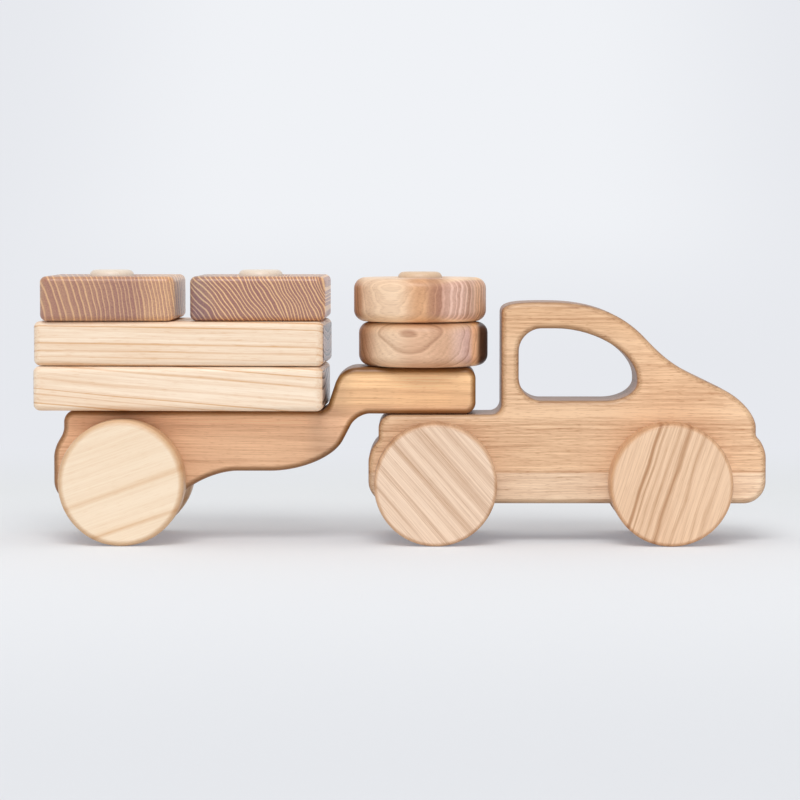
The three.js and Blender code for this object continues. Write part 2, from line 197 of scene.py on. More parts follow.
class LoadSizes(bpy.types.PropertyGroup):
    """Sizes of the loose pieces, how they lie, and roundings of wheels and dowels."""

    bar_length: length("Bar length", "Length of both bars", 142)
    block_width: length("Block width", "Width of the bars and the square blocks", 66)
    lower_bar_turn: turning("Lower bar turn", "How the lower bar lies turned", -1.7)
    upper_bar_turn: turning("Upper bar turn", "How the upper bar lies turned", -2.2)
    rear_square_block_turn: turning("Rear block turn", "How the rear block lies turned", -0.7)
    front_square_block_turn: turning("Front block turn", "How the front block lies turned", -1)
    block_edge: length("Block edge", "Rounding of a bar's or block's faces", 3)
    block_corner: length("Block corner", "Rounding of its upright corners", 4.5)
    disc_edge: length("Disc edge", "Rounding of a disc's faces", 5.5)
    disc_rim: length("Disc rim", "Rounding of a disc's hole", 2)
    truck_wheel_edge: length("Truck wheel edge", "Rounding of the truck's wheels", 2)
    trailer_wheel_edge: length("Trailer wheel edge", "Rounding of the trailer's wheels", 3)
    peg_edge: length("Peg edge", "Rounding of a peg's top", 3)
    axle_edge: length("Axle edge", "Chamfer of an axle's ends", 0.6)


class WoodColours(bpy.types.PropertyGroup):
    """Pale and deep tones of each kind of wood."""

    honey_pale: colour("Honey, pale", "Truck body between its lines", 246, 207, 168)
    honey_deep: colour("Honey, deep", "Truck body in its lines", 180, 128, 88)
    russet_pale: colour("Russet, pale", "Trailer body between its lines", 247, 199, 158)
    russet_deep: colour("Russet, deep", "Trailer body in its lines", 192, 137, 99)
    cream_pale: colour("Cream, pale", "Bars between their lines", 253, 233, 210)
    cream_deep: colour("Cream, deep", "Bars in their lines", 219, 171, 124)
    mauve_pale: colour("Mauve, pale", "Ring lines on the square blocks", 235, 190, 142)
    mauve_deep: colour("Mauve, deep", "Square blocks between the rings", 155, 107, 97)
    golden_pale: colour("Golden, pale", "Discs between their rings", 253, 221, 188)
    golden_deep: colour("Golden, deep", "Discs in their rings", 164, 112, 78)
    ivory_pale: colour("Ivory, pale", "Trailer wheels", 248, 227, 201)
    ivory_deep: colour("Ivory, deep", "Lines of the trailer wheels", 220, 176, 130)
    striped_pale: colour("Striped, pale", "Truck wheels between stripes", 246, 218, 193)
    striped_deep: colour("Striped, deep", "Stripes of the truck wheels", 188, 146, 112)
    dowel_pale: colour("Dowel, pale", "Pegs and axles", 245, 235, 222)
    dowel_deep: colour("Dowel, deep", "Lines of the pegs and axles", 224, 201, 174)
    oil: colour("Oil", "Warm tint where the oil gathers on turned edges", 208, 172, 126)
    edge: colour("Sawn edges", "Dark tint where the oil gathers on sawn edges", 156, 130, 72)
    square_edge: colour("Block edges", "Golden tint on the edges of the square blocks", 255, 215, 150)


class StageSettings(bpy.types.PropertyGroup):
    """Floor, light and camera."""

    near: colour("Near floor", "Paper in front of the toy, towards the camera", 214, 216, 217)
    floor: colour("Floor", "Paper that the toy stands on", 237, 239, 239)
    behind: colour("Behind", "Paper behind the toy", 231, 233, 238)
    shade: colour("Shade", "Light that the paper gives in the toy's shadow", 232, 233, 245)
    wall: colour("Wall", "Paper where it turns up", 240, 242, 246)
    focal: amount("Lens", "Focal length of the camera, in millimetres", 135, 10)
    distance: length("Distance", "Camera to the middle plane of the toy", 1492)
    height: length("Height", "Camera above the floor", 158.7)
    sky: amount("Sky", "Strength of the even light from all round", 0.66)
    key: amount("Front lamp", "Power of the lamp in front of the toy, in watts", 22)
    above: amount("Overhead lamp", "Power of the lamp above the toy, in watts", 1)


class ToySettings(bpy.types.PropertyGroup):
    """All the settings of the toy."""

    body: PointerProperty(type=BodySizes)
    truck: PointerProperty(type=TruckSizes)
    trailer: PointerProperty(type=TrailerSizes)
    load: PointerProperty(type=LoadSizes)
    wood: PointerProperty(type=WoodColours)
    stage: PointerProperty(type=StageSettings)


# Surfaces


def corner(x, y, before, after=None, fullness=ROUND):
    """A corner of an outline: its place, how far it bends before and after that, and how fully."""
    return x, y, before, before if after is None else after, fullness


def bent_outline(*corners):
    """Points of a closed outline with bent corners, in order.

    A bend is the cubic curve from the point that far before its corner to the point that far
    after it, with each handle its fullness of the way to the corner. Where two bends would meet
    on an edge, both are shortened to leave a little of it straight.
    """
    table = np.array(corners)
    place = table[:, :2]
    ahead = np.roll(place, -1, axis=0) - place
    span = np.linalg.norm(ahead, axis=1, keepdims=True)
    ahead /= span
    bends = table[:, 3:4] + np.roll(table[:, 2:3], -1, axis=0)
    fit = np.minimum(1, MOST_BENT * span / bends)
    start = place - np.roll(ahead, 1, axis=0) * table[:, 2:3] * np.roll(fit, 1, axis=0)
    end = place + ahead * table[:, 3:4] * fit
    leave = start + (place - start) * table[:, 4:5]
    arrive = end + (place - end) * table[:, 4:5]
    t = np.linspace(0, 1, CORNER_STEPS + 1)[None, :, None]
    first = (1 - t) ** 3 * start[:, None] + 3 * (1 - t) ** 2 * t * leave[:, None]
    second = 3 * (1 - t) * t**2 * arrive[:, None] + t**3 * end[:, None]
    return (first + second).reshape(-1, 2)


def ring_outline(x, y, radius):
    """Points of a circle, clockwise, as the edge of a hole."""
    angle = np.linspace(0, -2 * np.pi, HOLE_STEPS, endpoint=False)
    return np.stack([x + radius * np.cos(angle), y + radius * np.sin(angle)], axis=1)


def outward(loop):
    """Normal of a closed outline at each point, as long as an offset of one needs.

    It halves the angle between the normals of the two edges at the point, and is lengthened by
    the cosine of half that angle, so that an offset outline keeps its edges parallel.
    """
    edge = np.roll(loop, -1, axis=0) - loop
    edge /= np.linalg.norm(edge, axis=1, keepdims=True)
    normal = np.stack([edge[:, 1], -edge[:, 0]], axis=1)
    both = normal + np.roll(normal, 1, axis=0)
    return 2 * both / np.sum(both * both, axis=1, keepdims=True)


def edge_profile(thickness, edge):
    """Inset, height and roundness up the side of a board with rounded edges.

    From the lower face it goes round a quarter circle, straight up, and round another quarter
    circle to the upper face, with a narrow flat ring at each end of each curve.
    """
    angle = np.linspace(0, np.pi / 2, EDGE_STEPS + 1)
    inset = np.concatenate([[edge + SUPPORT], edge * (1 - np.sin(angle)), [0]])
    height = np.concatenate([[0], edge * (1 - np.cos(angle)), [edge + SUPPORT]])
    bend = np.concatenate([[0], np.sin(2 * angle), [0]])
    return (
        np.concatenate([inset, inset[::-1]]),
        np.concatenate([height, thickness - height[::-1]]),
        np.concatenate([bend, bend[::-1]]),
    )


def grid_faces(rows, columns, first=0, wrap_rows=False):
    """Quads of a grid of points whose columns close on themselves."""
    row, column = np.meshgrid(
        np.arange(rows if wrap_rows else rows - 1), np.arange(columns), indexing="ij"
    )
    above = (row + 1) % rows
    beside = (column + 1) % columns
    corners = [
        row * columns + column,
        row * columns + beside,
        above * columns + beside,
        above * columns + column,
    ]
    return (first + np.stack(corners, axis=-1).reshape(-1, 4)).tolist()


def board_surface(loops, thickness, edge):
    """A board sawn to outlines, the first its rim and the others its holes.

    Each outline is moved in along its normals by the inset of the edge profile and up by its
    height, so that a point is outline minus inset times normal, at that height. The two faces
    are filled between the last outlines.
    """
    inset, height, bend = edge_profile(thickness, edge)
    points, faces, rims, first = [], [], [], 0
    lower, upper = [], []
    for loop in loops:
        rows, columns = len(inset), len(loop)
        flat = loop[None] - inset[:, None, None] * outward(loop)[None]
        level = np.broadcast_to(height[:, None, None], (rows, columns, 1))
        points.append(np.concatenate([flat, level], axis=2).reshape(-1, 3))
        rims.append(np.repeat(bend, columns))
        faces += grid_faces(rows, columns, first)
        lower.append(np.arange(columns) + first)
        upper.append(np.arange(columns) + first + (rows - 1) * columns)
        first += rows * columns
    points = np.concatenate(points)
    cap = np.array(tessellate_polygon([points[index].tolist() for index in upper]))
    turn = points[np.concatenate(upper)][cap]
    side = np.cross(turn[:, 1] - turn[:, 0], turn[:, 2] - turn[:, 0])[:, 2]
    if side.sum() < 0:
        cap = cap[:, ::-1]
    faces += np.concatenate(upper)[cap].tolist()
    faces += np.concatenate(lower)[cap[:, ::-1]].tolist()
    return points, faces, np.concatenate(rims)


def turned_surface(profile, bend, closed=False, steps=TURNED_STEPS):
    """A turned piece: each point of a profile, a radius and a height, carried round the axis.

    A point is the radius times the cosine and the sine of the angle, at the height. A profile
    that isn't closed is capped at its two ends.
    """
    angle = np.linspace(0, 2 * np.pi, steps, endpoint=False)
    radius, height = profile[:, :1], profile[:, 1:]
    points = np.stack(
        [radius * np.cos(angle), radius * np.sin(angle), np.broadcast_to(height, (len(profile), steps))],
        axis=2,
    ).reshape(-1, 3)
    faces = grid_faces(len(profile), steps, wrap_rows=closed)
    if not closed:
        last = (len(profile) - 1) * steps
        faces.append(np.arange(steps)[::-1].tolist())
        faces.append((np.arange(steps) + last).tolist())
    return points, faces, np.repeat(bend, steps)


def arc(radius, height, size, start, end):
    """Points of an arc of a profile round a centre, from one angle to another in degrees."""
    angle = np.radians(np.linspace(start, end, EDGE_STEPS + 1))
    return np.stack([radius + size * np.cos(angle), height + size * np.sin(angle)], axis=1)


def joined_profile(*runs):
    """One profile from runs of points, each with its roundness, zero on straight runs."""
    points = np.concatenate([np.atleast_2d(run) for run in runs])
    bend = np.concatenate(
        [np.sin(np.linspace(0, np.pi, len(run))) if np.ndim(run) == 2 else [0] for run in runs]
    )
    return points, bend


def placed(points, across, up, out, origin):
    """Points of a shape moved into the toy: each coordinate along an axis, from an origin."""
    return points @ np.array([across, up, out], float) + np.array(origin, float)


FROM_RIGHT = ((1, 0, 0), (0, 0, 1), (0, -1, 0))  # drawn as seen from the truck's right side
FROM_LEFT = ((-1, 0, 0), (0, 0, 1), (0, 1, 0))
UPRIGHT = ((1, 0, 0), (0, 1, 0), (0, 0, 1))


def new_piece(name, points, faces, rims=None):
    """An object with that mesh, smooth but for its sharp edges, and its roundness on it."""
    mesh = bpy.data.meshes.new(name)
    mesh.from_pydata(points.tolist(), [], faces)
    if rims is not None:
        mesh.attributes.new("roundness", "FLOAT", "POINT").data.foreach_set("value", rims)
    mesh.update()
    piece = bpy.data.objects.new(name, mesh)
    bpy.context.scene.collection.objects.link(piece)
    mesh.shade_smooth()
    mesh.set_sharp_from_angle(angle=SHARP)
    return piece


def drill(piece, holes):
    """Cuts turned holes out of a piece, each a profile and the axes and origin to place it."""
    points, faces, first = [], [], 0
    for profile, axes, origin in holes:
        shape, sides, _ = turned_surface(np.array(profile), np.zeros(len(profile)), steps=HOLE_STEPS)
        points.append(placed(shape, *axes, origin))
        faces += [[first + index for index in side] for side in sides]
        first += len(shape)
    tool = new_piece(piece.name + "_drill", np.concatenate(points), faces)
    cut = piece.modifiers.new("Holes", "BOOLEAN")
    cut.operation = "DIFFERENCE"
    cut.solver = "EXACT"
    cut.object = tool
    with bpy.context.temp_override(object=piece, active_object=piece):
        bpy.ops.object.modifier_apply(modifier=cut.name)
    bpy.data.objects.remove(tool)
    piece.data.set_sharp_from_angle(angle=SHARP)


def finish_piece(piece, node, body, material):
    """Gives a piece its wood, and lets it ride on its body in the place of its solid."""
    piece.data.materials.append(material)
    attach(piece, body)
    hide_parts(node)


def middle(node):
    """Middle of a solid's box, as an array."""
    low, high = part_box(node)
    return (np.array(low) + np.array(high)) / 2


# Wood


def linear(tone):
    """A colour as the eye reads it, turned into the light that a shader uses."""
    tone = np.array(tone)
    light = np.where(tone <= 0.04045, tone / 12.92, ((tone + 0.055) / 1.055) ** 2.4)
    return (*light, 1)


class Graph:
    """A material's nodes, with short calls that add a node and link what it reads."""

    def __init__(self, name):
        self.material = bpy.data.materials.new(name)
        self.material.use_nodes = True
        self.tree = self.material.node_tree
        self.shader = self.tree.nodes["Principled BSDF"]

    def feed(self, socket, value):
        if isinstance(value, bpy.types.NodeSocket):
            self.tree.links.new(value, socket)
        else:
            socket.default_value = value

    def node(self, kind, inputs=None, **settings):
        node = self.tree.nodes.new("ShaderNode" + kind)
        for key, value in settings.items():
            setattr(node, key, value)
        for key, value in (inputs or {}).items():
            self.feed(node.inputs[key], value)
        return node

    def math(self, operation, *values, clamp=False):
        node = self.node("Math", dict(enumerate(values)), operation=operation, use_clamp=clamp)
        return node.outputs[0]

    def vector(self, operation, *values):
        node = self.node("VectorMath", dict(enumerate(values)), operation=operation)
        return node.outputs["Value" if operation in ("LENGTH", "DOT_PRODUCT") else "Vector"]

    def between(self, value, low, high):
        """Nought at low, one at high, and a smooth step in between."""
        node = self.node(
            "MapRange",
            {"Value": value, "From Min": low, "From Max": high},
            interpolation_type="SMOOTHSTEP",
        )
        return node.outputs["Result"]

    def noise(self, place, grain, detail=2, roughness=0.5, output="Fac"):
        """Noise whose grains are that many millimetres across, deep and long."""
        scaled = self.vector("DIVIDE", place, grain)
        inputs = {"Vector": scaled, "Scale": 1, "Detail": detail, "Roughness": roughness}
        return self.node("TexNoise", inputs).outputs[output]

    def swing(self, place, grain, detail=2, roughness=0.5):
        """The same noise as a number that swings about nought."""
        return self.math("SUBTRACT", self.noise(place, grain, detail, roughness), 0.5)

    def ramp(self, value, stops):
        """A grey shade for each of the given places along a value."""
        node = self.node("ValToRGB", {"Fac": value})
        elements = node.color_ramp.elements
        while len(elements) < len(stops):
            elements.new(1)
        for element, (place, shade) in zip(elements, stops):
            element.position = place
            element.color = (shade, shade, shade, 1)
        return node.outputs["Color"]

    def blend(self, share, first, second, mode="MIX"):
        node = self.node("Mix", {0: share, 6: first, 7: second}, data_type="RGBA", blend_type=mode)
        return node.outputs[2]


GRAIN = {
    "pith": (0, 0, 0),  # a point on the tree's axis, in millimetres
    "turn": (0, 0, 0),  # turn of the tree's axis from upright, in degrees
    "ring": 3.0,  # width of a ring where it starts to count, in millimetres
    "inner": 0.0,  # radius where that is
    "tighter": 0.0,  # how much the rings per millimetre grow with each millimetre outwards
    "drift": 0.4,  # how far the rings stray from an even spacing, in rings
    "drift_pace": 0.4,  # how fast that changes, per ring
    "waver": 0.6,  # how far they wander
    "waver_size": (14, 14, 90),
    "shades": ((0, 0), (0.55, 0.3), (0.88, 1.0), (1, 0)),  # across one ring
    "ring_depth": 0.3,
    "uneven": 0.8,  # how much one ring differs from the next
    "fine": 0,  # faint lines in each ring
    "fine_depth": 0.0,
    "bands": 0.15,  # soft bands along the grain
    "band_size": (3, 3, 240),
    "fibre": 0.2,
    "fibre_size": (0.7, 0.7, 45),
    "dashes": 0.2,  # short open pores
    "dash_size": (0.5, 0.5, 6),
    "dash_open": (0.56, 0.72),  # noise where a pore starts and where it is fully open
    "dash_deep": 0.6,  # how deep it is, against the fibres
    "patch": 0.1,
    "patch_size": (25, 25, 120),
    "streaks": (),  # place across the grain, half width and depth of single streaks
    "base": 0.2,
    "end_grain": 0.2,  # how much deeper the end grain is
    "end_from": 0.45,  # where a face turns into end grain, from 0 along to 1 across the fibres
    "end_full": 0.97,
    "end_rings": 0.0,  # how much deeper its rings are
    "end_tint": (1, 1, 1),
    "end_lines": (1, 1, 1),  # tint of the rings there
    "end_bold": 1.0,  # how much broader they are
    "end_coat": 0.0,  # how much more polish it takes
    "sawn": None,  # painted shade: a tint that darkens and greys a body's faces that don't face along Y, its roof, bed and sill
    "sawn_turn": (0.8, 0.1),  # share of a normal along Y where it starts and is full
    "zones": (),  # an axis, where a tint starts and is full along it in millimetres, and the tint
    "oiled": 0.15,  # how much oil the rounded edges hold
    "rough": 0.42,
    "fibre_rough": 0.25,  # how much rougher the fibres are
    "dash_rough": 0.1,
    "coat": 0.06,
    "coat_rough": 0.22,
    "bump": 0.12,
    "relief": 0.3,  # height of the fibres, in millimetres
}


def in_tree(graph, look):
    """Places of the surface from the pith, in millimetres across, across and along the grain."""
    mapping = graph.node(
        "Mapping",
        {
            "Vector": graph.node("TexCoord").outputs["Object"],
            "Location": [millimetres * MM for millimetres in look["pith"]],
            "Rotation": [math.radians(angle) for angle in look["turn"]],
            "Scale": (MM, MM, MM),
        },
        vector_type="TEXTURE",
    )
    return mapping.outputs["Vector"]


def end_share(graph, look):
    """How much a face is end grain: the share of its normal along the grain, past a threshold."""
    grain = Vector((0, 0, 1))
    grain.rotate(Euler([math.radians(angle) for angle in look["turn"]]))
    normal = graph.node("TexCoord").outputs["Normal"]
    along = graph.math("ABSOLUTE", graph.vector("DOT_PRODUCT", normal, tuple(grain)))
    return graph.between(along, look["end_from"], look["end_full"])


def ring_shade(graph, bent, ends, look):
    """Shade from the rings, and their lines: the distance from the pith counts them."""
    radius = graph.vector("LENGTH", graph.vector("MULTIPLY", bent, (1, 1, 0)))
    outside = graph.math("SUBTRACT", radius, look["inner"])
    count = graph.math("MULTIPLY", outside, 1 / look["ring"])
    square = graph.math("MULTIPLY", outside, outside)
    count = graph.math("MULTIPLY_ADD", square, look["tighter"] / 2, count)
    stray = {"W": graph.math("MULTIPLY", count, look["drift_pace"]), "Scale": 1, "Detail": 1}
    stray = graph.node("TexNoise", stray, noise_dimensions="1D").outputs["Fac"]
    stray = graph.math("SUBTRACT", stray, 0.5)
    count = graph.math("MULTIPLY_ADD", stray, NOISE_REACH * look["drift"], count)
    number = graph.math("FLOOR", count)
    chance = graph.node("TexWhiteNoise", {"W": number}, noise_dimensions="1D").outputs["Value"]
    depth = graph.math("MULTIPLY_ADD", chance, look["uneven"], 1 - look["uneven"] / 2)
    lines = graph.math("MULTIPLY", graph.ramp(graph.math("FRACT", count), look["shades"]), depth)
    depth = graph.math("MULTIPLY_ADD", ends, look["end_rings"], look["ring_depth"])
    shade = graph.math("MULTIPLY", lines, depth)
    if look["fine"]:
        line = graph.math("PINGPONG", graph.math("MULTIPLY", count, 2 * look["fine"]), 1)
        line = graph.math("SUBTRACT", line, 0.5)
        shade = graph.math("MULTIPLY_ADD", line, look["fine_depth"], shade)
    return shade, lines


def streak_shade(graph, side, streaks):
    """Shade from single streaks, each a peak at its place across the grain."""
    low = min(spot - half for spot, half, _ in streaks)
    high = max(spot + half for spot, half, _ in streaks)
    share = graph.math("DIVIDE", graph.math("SUBTRACT", side, low), high - low)
    stops = []
    for spot, half, depth in sorted(streaks):
        for offset, value in ((-half, 0.5), (0, 0.5 + depth / 2), (half, 0.5)):
            stops.append(((spot + offset - low) / (high - low), value))
    shade = graph.math("SUBTRACT", graph.ramp(share, stops), 0.5)
    return graph.math("MULTIPLY", shade, 2)


def wood(name, pale, deep, oil, **changes):
    """Solid wood, worked out at each point from its place in the tree.

    The place is measured from the pith, along and across the grain, and wanders with some noise.
    Rings, soft bands, fibres, pores, patches and single streaks add up to a shade, which blends
    the pale tone into the deep one. End grain, painted shade on the faces that don't face along Y,
    zones, some of which paint light and shade, and oiled edges then tint that.
    """
    look = {**GRAIN, **changes}
    graph = Graph(name)
    place = in_tree(graph, look)
    ends = end_share(graph, look)
    reach = NOISE_REACH * look["waver"]
    wander = graph.noise(place, look["waver_size"], detail=1, output="Color")
    wander = graph.vector("SUBTRACT", wander, (0.5, 0.5, 0.5))
    wander = graph.vector("MULTIPLY", wander, (reach, reach, 0))
    bent = graph.vector("ADD", place, wander)

    shade, lines = ring_shade(graph, bent, ends, look)
    shade = graph.math("ADD", shade, look["base"])
    fibre = graph.swing(place, look["fibre_size"], detail=3, roughness=0.6)
    bands = graph.swing(bent, look["band_size"])
    patch = graph.swing(place, look["patch_size"])
    for part, depth in ((fibre, "fibre"), (bands, "bands"), (patch, "patch")):
        shade = graph.math("MULTIPLY_ADD", part, NOISE_REACH / 2 * look[depth], shade)
    dashes = graph.between(graph.noise(place, look["dash_size"], detail=1), *look["dash_open"])
    shade = graph.math("MULTIPLY_ADD", dashes, look["dashes"], shade)
    if look["streaks"]:
        side = graph.node("SeparateXYZ", {"Vector": bent}).outputs["X"]
        shade = graph.math("ADD", shade, streak_shade(graph, side, look["streaks"]))
    shade = graph.math("MULTIPLY_ADD", ends, look["end_grain"], shade, clamp=True)

    tone = graph.blend(shade, linear(pale), linear(deep))
    tone = graph.blend(ends, tone, (*look["end_tint"], 1), "MULTIPLY")
    lines = graph.math("MULTIPLY", lines, look["end_bold"], clamp=True)
    lines = graph.math("MULTIPLY", ends, lines)
    tone = graph.blend(lines, tone, (*look["end_lines"], 1), "MULTIPLY")
    # Painted shade: the faces that don't face along Y take a darker, greyer tint
    if look["sawn"]:
        normal = graph.node("SeparateXYZ", {"Vector": graph.node("TexCoord").outputs["Normal"]})
        flat = graph.math("ABSOLUTE", normal.outputs["Y"])
        turned = graph.between(flat, *look["sawn_turn"])
        tone = graph.blend(turned, tone, (*look["sawn"], 1), "MULTIPLY")
    where = graph.node("TexCoord").outputs["Object"]
    for axis, start, full, tint in look["zones"]:
        share = graph.between(graph.vector("DOT_PRODUCT", where, axis), start * MM, full * MM)
        tone = graph.blend(share, tone, (*tint, 1), "MULTIPLY")
    roundness = graph.node("Attribute", attribute_name="roundness").outputs["Fac"]
    gathered = graph.math("MULTIPLY", roundness, look["oiled"])
    tone = graph.blend(gathered, tone, linear(oil), "MULTIPLY")
    graph.feed(graph.shader.inputs["Base Color"], tone)

    rough = graph.math("MULTIPLY_ADD", fibre, look["fibre_rough"], look["rough"])
    rough = graph.math("MULTIPLY_ADD", dashes, look["dash_rough"], rough)
    graph.feed(graph.shader.inputs["Roughness"], rough)
    coat = look["coat"]
    if look["end_coat"]:
        coat = graph.math("MULTIPLY_ADD", ends, look["end_coat"], coat)
    graph.feed(graph.shader.inputs["Coat Weight"], coat)
    graph.shader.inputs["Coat Roughness"].default_value = look["coat_rough"]
    relief = graph.math("MULTIPLY_ADD", dashes, -look["dash_deep"], fibre)
    height = {"Strength": look["bump"], "Distance": look["relief"] * MM, "Height": relief}
    bump = graph.node("Bump", height)
    graph.feed(graph.shader.inputs["Normal"], bump.outputs["Normal"])
    return graph.material


# Looks of the pieces, where they differ from the usual grain

FORWARD, BACKWARD = (1, 0, 0), (-1, 0, 0)  # axes of zones
UPWARD, DOWNWARD = (0, 0, 1), (0, 0, -1)
LEFTWARD = (0, 1, 0)
DOWN_BACK = (-0.7, 0, -0.7)

# Height, half width and depth of the truck's most visible streaks, in millimetres
TRUCK_STREAKS = (
    (110.2, 1.0, 0.3),
    (98.0, 5.0, -0.16),
    (79.2, 0.8, 0.28),
    (73.6, 0.8, 0.25),
    (64.6, 3.4, -0.22),
    (58.4, 1.2, 0.25),
    (55.7, 0.8, 0.3),
    (47.4, 0.8, 0.22),
    (36.9, 0.7, -0.25),
    (34.8, 0.8, 0.3),
)
TRUCK_LOOK = dict(
    pith=(0, 30, 0), turn=(0, 90, 0), ring=2.3, ring_depth=0.22, drift=0.6, uneven=1.2, waver=0.8,
    bands=0.4, band_size=(1.2, 1.2, 70), fibre=0.85, fibre_size=(0.42, 0.42, 18),
    dashes=0.35, dash_size=(0.4, 0.4, 5), oiled=0.4,
    # sawn: painted shade on the roof, bed, sill and window walls
    end_tint=(1.1, 1.04, 1), sawn=(0.48, 0.43, 0.45),
    streaks=[(-height, half, depth) for height, half, depth in TRUCK_STREAKS],
    zones=(
        (UPWARD, 35, 34, (1.06, 1.18, 1.34)),
        (UPWARD, 95, 110, (0.97, 0.93, 0.88)),
        (FORWARD, 95, 130, (1.06, 1.03, 1)),
        # Painted light: the nose lighter, as if lit from the right
        (FORWARD, 148, 165, (1.06, 1.1, 1.14)),
    ),
)
TRAILER_LOOK = dict(
    pith=(0, 40, -90), turn=(0, 90.6, 0), ring=3.6, ring_depth=0.2, drift=0.6, waver=1.0,
    bands=0.34, band_size=(3, 3, 140), fibre=0.85, fibre_size=(0.4, 0.4, 30),
    # sawn: painted shade on the bed, the gooseneck's top and the other faces round the outline
    dashes=0.26, dash_size=(0.4, 0.4, 4), oiled=0.9, coat=0.12, sawn=(0.6, 0.52, 0.48),
    zones=(
        # Painted light and shade: the side lightened from Z 46 up, against the shadow of the bars, and
        # darkened below Z 47
        (UPWARD, 46, 60, (1.2, 1.2, 1.2)),
        (UPWARD, 47, 43, (0.94, 0.94, 0.94)),
        # Painted shadow of the bars along the bed's top edge; the next zone lifts the gooseneck back
        # from it and gives it a paler, more golden tone
        (UPWARD, 60.5, 63.5, (0.78, 0.76, 0.72)),
        (UPWARD, 64, 70, (1.14, 1.2, 1.14)),
        # Painted light on the gooseneck against the shadow of the discs, then painted shadow of the
        # discs along its top edge, partly darker oil there
        (UPWARD, 74, 80, (1.15, 1.2, 1.2)),
        (UPWARD, 81.5, 84.5, (0.5, 0.4, 0.25)),
        # Painted shadow of the bar's end on the riser, a darker band from X -50 to -20; the next zone
        # ends it
        (FORWARD, -50, -38, (0.82, 0.82, 0.84)),
        (FORWARD, -33, -20, (1.2, 1.19, 1.16)),
        # Painted light on the gooseneck's middle, against the shadow of the discs above it; the next
        # zone ends it
        (FORWARD, -8, 2, (1.08, 1.08, 1.07)),
        (FORWARD, 19, 28, (0.93, 0.93, 0.94)),
    ),
)

# The wheels' streaks lie at places across the grain from the middle
WHEEL_PITH = 400  # from a wheel's middle, to its left
WHEEL_LOOK = dict(ring_depth=0, dashes=0.12, oiled=0.6)
FRONT_WHEEL = dict(
    WHEEL_LOOK, base=0.12, waver=0.65, waver_size=(9, 60, 26),
    bands=0.28, band_size=(1.1, 60, 40), fibre=0.6, fibre_size=(0.4, 0.4, 24),
    zones=((LEFTWARD, -100, -99, (0.98, 0.9, 0.8)),),
    streaks=(
        (-14, 1.3, 1),
        (-11.4, 1, 0.65),
        (-8, 1, 0.3),
        (-4.2, 1.5, 0.5),
        (0.2, 2, 0.82),
        (4.4, 1.2, 0.25),
        (8, 1.5, 0.5),
        (12, 1, 0.25),
        (16, 1.2, 0.35),
        (20.5, 1.6, 0.35),
    ),
)
REAR_WHEEL = dict(
    WHEEL_LOOK, base=0.14,
    bands=0.35, band_size=(1, 60, 120), fibre=0.75, fibre_size=(0.4, 0.4, 40),
    streaks=(
        (-22, 2.4, 0.4),
        (-16.8, 1.2, 0.15),
        (-11.5, 3.6, 0.45),
        (-5, 1.6, 0.16),
        (2, 3.6, 0.5),
        (8.2, 1.4, 0.2),
        (14.2, 2.6, 0.45),
        (22.8, 2, 0.4),
    ),
)
TRAILER_WHEEL = dict(
    ring_depth=0, base=0.1, bands=0.2, band_size=(2.2, 60, 140), fibre=0.3, dashes=0.14, oiled=0.62,
    streaks=((-21, 3, 0.06), (3, 2.6, 0.45), (6.4, 0.8, 0.1), (21.4, 1.8, 0.6), (23.8, 0.6, 0.1)),
)

AXLE_PITH = 30  # above an axle's middle
AXLE_LOOK = dict(turn=(-90, 0, 0), ring=1.8, end_grain=0)
PEG_PITH = (8, 24)  # from a peg's middle, forwards and to the left
PEG_LOOK = dict(ring=1.9, ring_depth=0.2, end_grain=0)

BAR_LOOK = dict(
    drift=0.7, ring_depth=0.72, uneven=1.4, shades=((0, 0), (0.68, 0.1), (0.84, 1), (0.93, 0.3), (1, 0)),
    bands=0.45, band_size=(1.6, 1.6, 90), fibre=0.35, fibre_size=(0.6, 0.6, 30),
    end_grain=0.3, end_from=0.9, end_lines=(0.14, 0.12, 0.12), end_bold=6, end_coat=0.45, oiled=0.04,
)
# The bars' end tints give their end grain a greyer tone, and are partly painted shade and a painted
# reflection of the pale backdrop
BARS = {
    "upper_bar": dict(
        pith=(0, 0, 228), turn=(0, 90.8, -2.2), inner=67.3, ring=3.2, base=0.24,
        end_tint=(0.63, 0.65, 0.86),
    ),
    "lower_bar": dict(
        pith=(-108, -25, 205), turn=(0, 94.7, -1.7), inner=68.7, ring=4.6, base=0.16,
        end_tint=(0.84, 0.93, 1.16),
    ),
}

SQUARE_LOOK = dict(
    drift=0.25, ring_depth=0.88, uneven=0.12, base=-0.1, bands=0,
    fibre=0.35, fibre_size=(0.6, 0.6, 20), end_grain=0.14, oiled=0.3, coat=0.35,
)
SQUARES = {
    "rear_square_block": dict(
        pith=(-230, 0, 102), turn=(-90, 0, 8), inner=50, ring=4.0, tighter=0.0055,
        shades=((0, 0.8), (0.64, 0.92), (0.77, 0.26), (0.91, 0.26), (1, 0.8)),
        zones=(
            (FORWARD, -152, -140, (0.9, 0.875, 0.93)),
            (FORWARD, -133, -116, (1.38, 1.48, 1.28)),
            (DOWN_BACK, 38, 47, (0.84, 0.76, 0.92)),
            # Painted reflection of the pale backdrop on the block's right face
            (FORWARD, -111.5, -109.8, (1.2, 1.4, 1.8)),
        ),
    ),
    "front_square_block": dict(
        pith=(-159.7, 187, 65), turn=(-90, 0, -1), inner=81, ring=2.3, tighter=0.005,
        waver=1.4, waver_size=(16, 16, 400),
        shades=((0, 0.95), (0.6, 1), (0.74, 0), (0.93, 0), (1, 0.95)),
        zones=(
            (DOWN_BACK, -20, -6, (0.68, 0.62, 0.8)),
            (BACKWARD, 86, 101, (0.8, 0.88, 1.02)),
            # Painted reflection of the pale backdrop on the block's right face
            (FORWARD, -38, -36.2, (1.5, 1.75, 2.1)),
        ),
    ),
}

